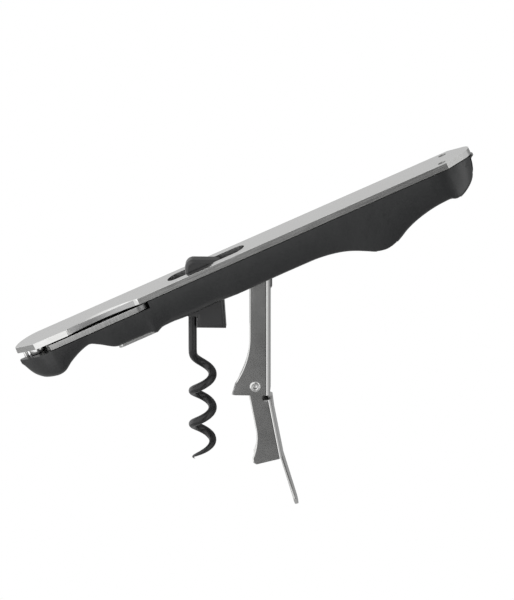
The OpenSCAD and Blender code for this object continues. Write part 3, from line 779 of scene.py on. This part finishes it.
class CORKSCREW_OT_worm(bpy.types.Operator):
    """Winds the worm: a straight shaft, then a coil that ends in a point"""

    bl_idname = "corkscrew.worm"
    bl_label = "Worm"

    # Heights of the coil's start, the point and the shaft's top end, in mm from the frame's origin
    START = 12.7
    TIP = -21.3
    SHAFT_TOP = 26
    # Drop over which the wire leans over from the straight shaft into the coil
    LEAD = 6.2
    POINT_RADIUS = 0.08
    STEPS = 260

    def execute(self, context):
        sizes, colours = context.scene.corkscrew_sizes, context.scene.corkscrew_colours
        pitch, coil, wire = sizes.pitch / MM, sizes.coil / MM, sizes.wire / MM
        point, sides = sizes.point / MM, sizes.wire_sides
        drop = self.START - self.TIP
        lead_turn = math.pi / pitch * self.LEAD
        # Distances below the coil's start
        steps = [self.START - self.SHAFT_TOP]
        steps += [drop * i / self.STEPS for i in range(self.STEPS + 1)]
        rings = []
        for s in steps:
            part = min(max(s, 0) / self.LEAD, 1)
            turn = lead_turn * part ** 2 + math.tau / pitch * max(s - self.LEAD, 0)
            lean = math.tau / pitch * part * coil
            a = math.pi - turn
            radius = wire / 2 - (wire / 2 - self.POINT_RADIUS) * max(0, (s - drop + point) / point)
            out = Vector((math.cos(a), math.sin(a), 0))
            side = Vector((math.sin(a), -math.cos(a), lean)) / math.sqrt(1 + lean ** 2)
            centre = coil * out + Vector((0, 0, self.START - s))
            for j in range(sides):
                t = math.tau * j / sides
                rings.append(centre + radius * (out * math.cos(t) + side * math.sin(t)))
        worm = piece_from("worm_wire", rings, skin_faces(len(steps), sides))
        run_light(worm.data, 50)
        # Baked low-friction coating on steel wire: satin black, with a slight orange peel
        # 0.4 mm across that softens the long highlights
        coating = dark_plastic(
            "Black low-friction coating", colours.worm_coating, 0.4, (0.3, 0.42), 0.006, 1.38)
        dress(worm, coating, "worm")
        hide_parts("worm")
        return {"FINISHED"}


class CORKSCREW_OT_levers(bpy.types.Operator):
    """Rounds and finishes the two levers, and heads the rivet that joins them"""

    bl_idname = "corkscrew.levers"
    bl_label = "Levers"

    # Half section of the rivet's head from the middle of its bore out, over the lever's side:
    # a hollow rivet with a rolled ring round its bore
    HEAD = [
        (0.001, -0.55), (0.5, -0.55), (0.64, -0.42), (0.65, 0.08), (0.7, 0.22), (0.82, 0.31),
        (1, 0.35), (1.2, 0.33), (1.4, 0.25), (1.54, 0.12), (1.6, 0), (1.55, -0.02), (0.95, -0.02)]

    def execute(self, context):
        sizes, colours = context.scene.corkscrew_sizes, context.scene.corkscrew_colours
        # Sheet steel, blanked, folded and tumbled: a soft grey shine with shallow pits
        # 0.35 mm apart, and rounded edges that catch the light
        sheet = worked_metal(
            "Tumbled steel sheet", colours.lever_steel, (0.35, 0.35, 0.35), 0,
            (0.13, 0.16), 0.006, 0.0004)
        for name, node, body in (
                ("lever_tumbled", "lever_upper", "lever"), ("step_tumbled", "step_lever", "step")):
            lever = tumbled_sheet(name, node, sizes.lever_edge)
            dress(lever, sheet, body)
            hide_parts(node)
        low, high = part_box("lever_upper")
        face = (high.y - low.y) / 2 / MM
        profile = [(r, -face - h) for r, h in self.HEAD]
        profile += [(r, face + h) for r, h in reversed(self.HEAD)]
        rivet = lathe("step_rivet_rolled", profile, Matrix.Translation(RIVET) @ ACROSS)
        dress(rivet, fastener_finish(colours), "lever")
        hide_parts("step_rivet")
        return {"FINISHED"}


class CORKSCREW_OT_blade(bpy.types.Operator):
    """Finishes the foil blade with its pin, washer and stop"""

    bl_idname = "corkscrew.blade"
    bl_label = "Foil blade"

    # Middle and reach of the blade's rounded end along the handle and across it, in mm
    END_X = (-17.7, 2)
    END_Y = (0, 7)
    # Painted shade: a darker tone for the rounded end, which the pocket shades
    END_SHADE_TONE = 0.2
    END_ROUGHNESS = 0.45

    def execute(self, context):
        sizes, colours = context.scene.corkscrew_sizes, context.scene.corkscrew_colours
        # Hardened blade steel, ground across its length: short fine lines. Real lines are
        # 0.05 mm apart and are drawn at 0.3 mm so that they show
        ground = worked_metal(
            "Ground blade steel", colours.blade_steel, (0.5, 6, 3), TILT, (0.16, 0.24), 0.03, 0.0015)
        # Painted shade: the rounded end is made darker and matt, standing in for the shade of the
        # pocket round it
        dull_walls_with_painted_shade(ground, self.END_X, self.END_Y, self.END_SHADE_TONE, self.END_ROUGHNESS)
        blade = frame["nodes"]["blade"]
        soften(blade, sizes.blade_edge, 2)
        dress(blade, ground)
        for name in ("blade_pin", "blade_washer", "blade_stop_pin"):
            soften(frame["nodes"][name], sizes.fastener_edge, 2)
            dress(frame["nodes"][name], fastener_finish(colours))
        return {"FINISHED"}


class CORKSCREW_OT_opener(bpy.types.Operator):
    """Finishes the crown-cap opener's lip and its rivets"""

    bl_idname = "corkscrew.opener"
    bl_label = "Opener lip"

    def execute(self, context):
        sizes, colours = context.scene.corkscrew_sizes, context.scene.corkscrew_colours
        # Nickel-plated strip: brighter and smoother than the brushed plate
        plated = worked_metal(
            "Nickel-plated steel strip", colours.blade_steel, (0.5, 0.5, 0.5), 0,
            (0.12, 0.2), 0.04, 0.003)
        soften(frame["nodes"]["opener_lip"], sizes.plate_edge, 2)
        dress(frame["nodes"]["opener_lip"], plated)
        soften(frame["nodes"]["lip_rivets"], sizes.fastener_edge, 2)
        dress(frame["nodes"]["lip_rivets"], fastener_finish(colours))
        return {"FINISHED"}


# ---------------------------------------------------------------- Studio

class CORKSCREW_OT_studio(bpy.types.Operator):
    """Sets up the pale floor, soft light and camera"""

    bl_idname = "corkscrew.studio"
    bl_label = "Studio"

    # Place and size of each lamp, in metres
    KEY_LAMP = ((-0.55, -0.75, 0.85), 0.6)
    SIDE_LAMP = ((0.8, -0.45, 0.35), 0.5)
    FLOOR_RADIUS = 0.5
    # The middle of the picture, in mm from the frame's origin
    AIM = (15.6, 0, 27.1)
    # A tall picture of 600 by 514 px shows the corkscrew at 3.5 px for each millimetre
    PICTURE = 600
    PIXELS_PER_MM = 3.5
    SENSOR = 36

    def execute(self, context):
        studio = context.scene.corkscrew_studio
        self.surroundings(context.scene, studio)
        self.floor(studio, context.scene.corkscrew_colours)
        self.lamp("key", *self.KEY_LAMP, studio.key)
        self.lamp("side", *self.SIDE_LAMP, studio.rim)
        self.camera(context.scene, studio)
        context.scene.view_settings.view_transform = "Standard"
        return {"FINISHED"}

    def surroundings(self, scene, studio):
        """White behind the object, an even fill, and screens for metal to reflect."""
        world = bpy.data.worlds.new("Studio")
        scene.world = world
        world.use_nodes = True
        tree = world.node_tree
        tree.nodes.clear()
        toward = add_node(tree, "ShaderNodeTexCoord").outputs["Generated"]
        part = add_node(tree, "ShaderNodeSeparateXYZ", {"Vector": toward}).outputs
        ahead = add_node(tree, "ShaderNodeMath", {
            0: part["Y"], 1: -1.0}, operation="MULTIPLY").outputs[0]
        # Turn away from the near side, from -180 degrees at the left to 180 at the right
        bearing = add_node(tree, "ShaderNodeMath", {
            0: part["X"], 1: ahead}, operation="ARCTAN2").outputs[0]
        turned = add_node(tree, "ShaderNodeMath", {
            0: bearing, 1: 1 / math.tau, 2: 0.5}, operation="MULTIPLY_ADD").outputs[0]
        # Height above level, from -90 degrees to 90
        height = add_node(tree, "ShaderNodeMath", {0: part["Z"]}, operation="ARCSINE").outputs[0]
        raised = add_node(tree, "ShaderNodeMath", {
            0: height, 1: 1 / math.pi, 2: 0.5}, operation="MULTIPLY_ADD").outputs[0]
        brightest = max(studio.left, studio.right, studio.right_front, studio.back)
        front = studio.front
        # Brightness along one of the two angles, from (degrees, level) pairs. The middle is the
        # dark room round the camera. Beside and outside are the shares of the screens and of the
        # surroundings that show past it
        tones = {
            "screens": (turned, 360, [
                (-180, studio.behind), (-174, studio.behind), (-168, studio.back), (-142, studio.back),
                (-122, studio.left), (-1, studio.left), (1, studio.right_front),
                (42, studio.right_front), (52, studio.right), (100, studio.right),
                (125, studio.behind), (180, studio.behind)]),
            "middle": (raised, 180, [
                (-60, 0.5), (-40, 0.5 * front), (-25, 0.9 * front), (-17, front),
                (-9, 0.8 * front), (0, 0.5 * front), (30, front), (50, studio.back)]),
            "beside": (turned, 360, [(-9, brightest), (-4.5, 0), (22, 0), (40, brightest)]),
            "outside": (raised, 180, [(-35, brightest), (-27, 0), (48, 0), (60, brightest)]),
            "around": (raised, 180, [(-10, studio.below), (10, studio.back)]),
        }
        seen = {}
        for name, (angle, full, levels) in tones.items():
            stops = [(degrees / full + 0.5, value / brightest) for degrees, value in levels]
            seen[name] = add_node(tree, "ShaderNodeValToRGB", {"Fac": angle}, stops).outputs[0]
        whole = seen["middle"]
        for share, other in (("beside", "screens"), ("outside", "around")):
            whole = add_node(tree, "ShaderNodeMix", {
                0: seen[share], 6: whole, 7: seen[other]}, data_type="RGBA").outputs[2]
        mirrored, plain, white = (
            add_node(tree, "ShaderNodeBackground", {"Color": tone, "Strength": strength}).outputs[0]
            for tone, strength in (
                (whole, brightest), ((1, 1, 1, 1), studio.fill), ((1, 1, 1, 1), 1.0)))
        ray = add_node(tree, "ShaderNodeLightPath").outputs
        lit = add_node(tree, "ShaderNodeMixShader", {
            0: ray["Is Glossy Ray"], 1: plain, 2: mirrored}).outputs[0]
        shown = add_node(tree, "ShaderNodeMixShader", {
            0: ray["Is Camera Ray"], 1: lit, 2: white}).outputs[0]
        add_node(tree, "ShaderNodeOutputWorld", {"Surface": shown})

    def floor(self, studio, colours):
        """A pale round floor well below the corkscrew, fading out at its edge."""
        radius = self.FLOOR_RADIUS
        outline = arc((0, 0), radius / MM, 0, 355, 71)
        drop = -studio.floor_drop / MM
        disc = piece_from("floor", [(x, y, drop) for x, y in outline], [tuple(range(len(outline)))])
        finish, tree, shader = new_finish("Matt studio floor")
        shader.inputs["Base Color"].default_value = list(colours.floor) + [1]
        shader.inputs["Roughness"].default_value = 0.9
        spot = add_node(tree, "ShaderNodeTexCoord").outputs["Object"]
        flat = add_node(tree, "ShaderNodeVectorMath", {
            0: spot, 1: (1, 1, 0)}, operation="MULTIPLY").outputs[0]
        away = add_node(tree, "ShaderNodeVectorMath", {0: flat}, operation="LENGTH").outputs["Value"]
        fade = add_node(tree, "ShaderNodeMapRange", {
            "Value": away, "From Min": 0.6 * radius, "From Max": 0.97 * radius,
            "To Min": 1.0, "To Max": 0.0}, interpolation_type="SMOOTHSTEP").outputs[0]
        clear = add_node(tree, "ShaderNodeBsdfTransparent").outputs[0]
        mixed = add_node(tree, "ShaderNodeMixShader", {
            0: fade, 1: clear, 2: shader.outputs[0]}).outputs[0]
        output = next(node for node in tree.nodes if node.type == "OUTPUT_MATERIAL")
        tree.links.new(mixed, output.inputs["Surface"])
        disc.data.materials.append(finish)

    def lamp(self, name, place, size, share):
        """A soft square lamp that lights the object with that share of a plain level."""
        reach = Vector(place) - Vector(self.AIM) * MM
        light = bpy.data.lights.new(name, "AREA")
        light.size = size
        # A lamp of pi squared times distance squared watts lights a facing surface at level 1
        light.energy = share * math.pi ** 2 * reach.length_squared
        lamp = set_out(name, light)
        lamp.location = place
        lamp.rotation_euler = reach.to_track_quat("Z", "Y").to_euler()
        lamp.visible_glossy = False

    def camera(self, scene, studio):
        """The photograph's view: slightly to the right and a little above."""
        turn, lift = studio.camera_turn, studio.camera_lift
        ahead = math.cos(lift)
        look = Vector((-math.sin(turn) * ahead, math.cos(turn) * ahead, -math.sin(lift)))
        lens = bpy.data.cameras.new("camera")
        lens.sensor_width = self.SENSOR
        lens.lens = self.PIXELS_PER_MM * studio.distance / MM * self.SENSOR / self.PICTURE
        lens.clip_start, lens.clip_end = 0.05, 20
        camera = set_out("camera", lens)
        camera.location = Vector(self.AIM) * MM - look * studio.distance
        camera.rotation_euler = look.to_track_quat("-Z", "Y").to_euler()
        scene.camera = camera


class CORKSCREW_PT_panel(bpy.types.Panel):
    """Sizes, colours and studio of the corkscrew, with a button for each piece"""

    bl_label = "Push-Pull Corkscrew"
    bl_idname = "CORKSCREW_PT_panel"
    bl_space_type = "VIEW_3D"
    bl_region_type = "UI"
    bl_category = "Corkscrew"

    def draw(self, context):
        for operator in OPERATORS:
            self.layout.operator(operator.bl_idname)
        for group in (
                context.scene.corkscrew_sizes, context.scene.corkscrew_colours,
                context.scene.corkscrew_studio):
            box = self.layout.box()
            for name in group.__annotations__:
                box.prop(group, name)


GROUPS = (CorkscrewSizes, CorkscrewColours, CorkscrewStudio)
OPERATORS = (
    CORKSCREW_OT_top_plate, CORKSCREW_OT_grip, CORKSCREW_OT_hub, CORKSCREW_OT_worm,
    CORKSCREW_OT_levers, CORKSCREW_OT_blade, CORKSCREW_OT_opener, CORKSCREW_OT_studio)


def register():
    for made in (*GROUPS, *OPERATORS, CORKSCREW_PT_panel):
        bpy.utils.register_class(made)
    bpy.types.Scene.corkscrew_sizes = PointerProperty(type=CorkscrewSizes)
    bpy.types.Scene.corkscrew_colours = PointerProperty(type=CorkscrewColours)
    bpy.types.Scene.corkscrew_studio = PointerProperty(type=CorkscrewStudio)


def unregister():
    del bpy.types.Scene.corkscrew_studio
    del bpy.types.Scene.corkscrew_colours
    del bpy.types.Scene.corkscrew_sizes
    for made in reversed((*GROUPS, *OPERATORS, CORKSCREW_PT_panel)):
        bpy.utils.unregister_class(made)


def main():
    """Builds the dressed corkscrew."""
    register()
    bpy.ops.corkscrew.top_plate()
    bpy.ops.corkscrew.grip()
    bpy.ops.corkscrew.hub()
    bpy.ops.corkscrew.worm()
    bpy.ops.corkscrew.levers()
    bpy.ops.corkscrew.blade()
    bpy.ops.corkscrew.opener()
    bpy.ops.corkscrew.studio()


if __name__ == "__main__":
    main()
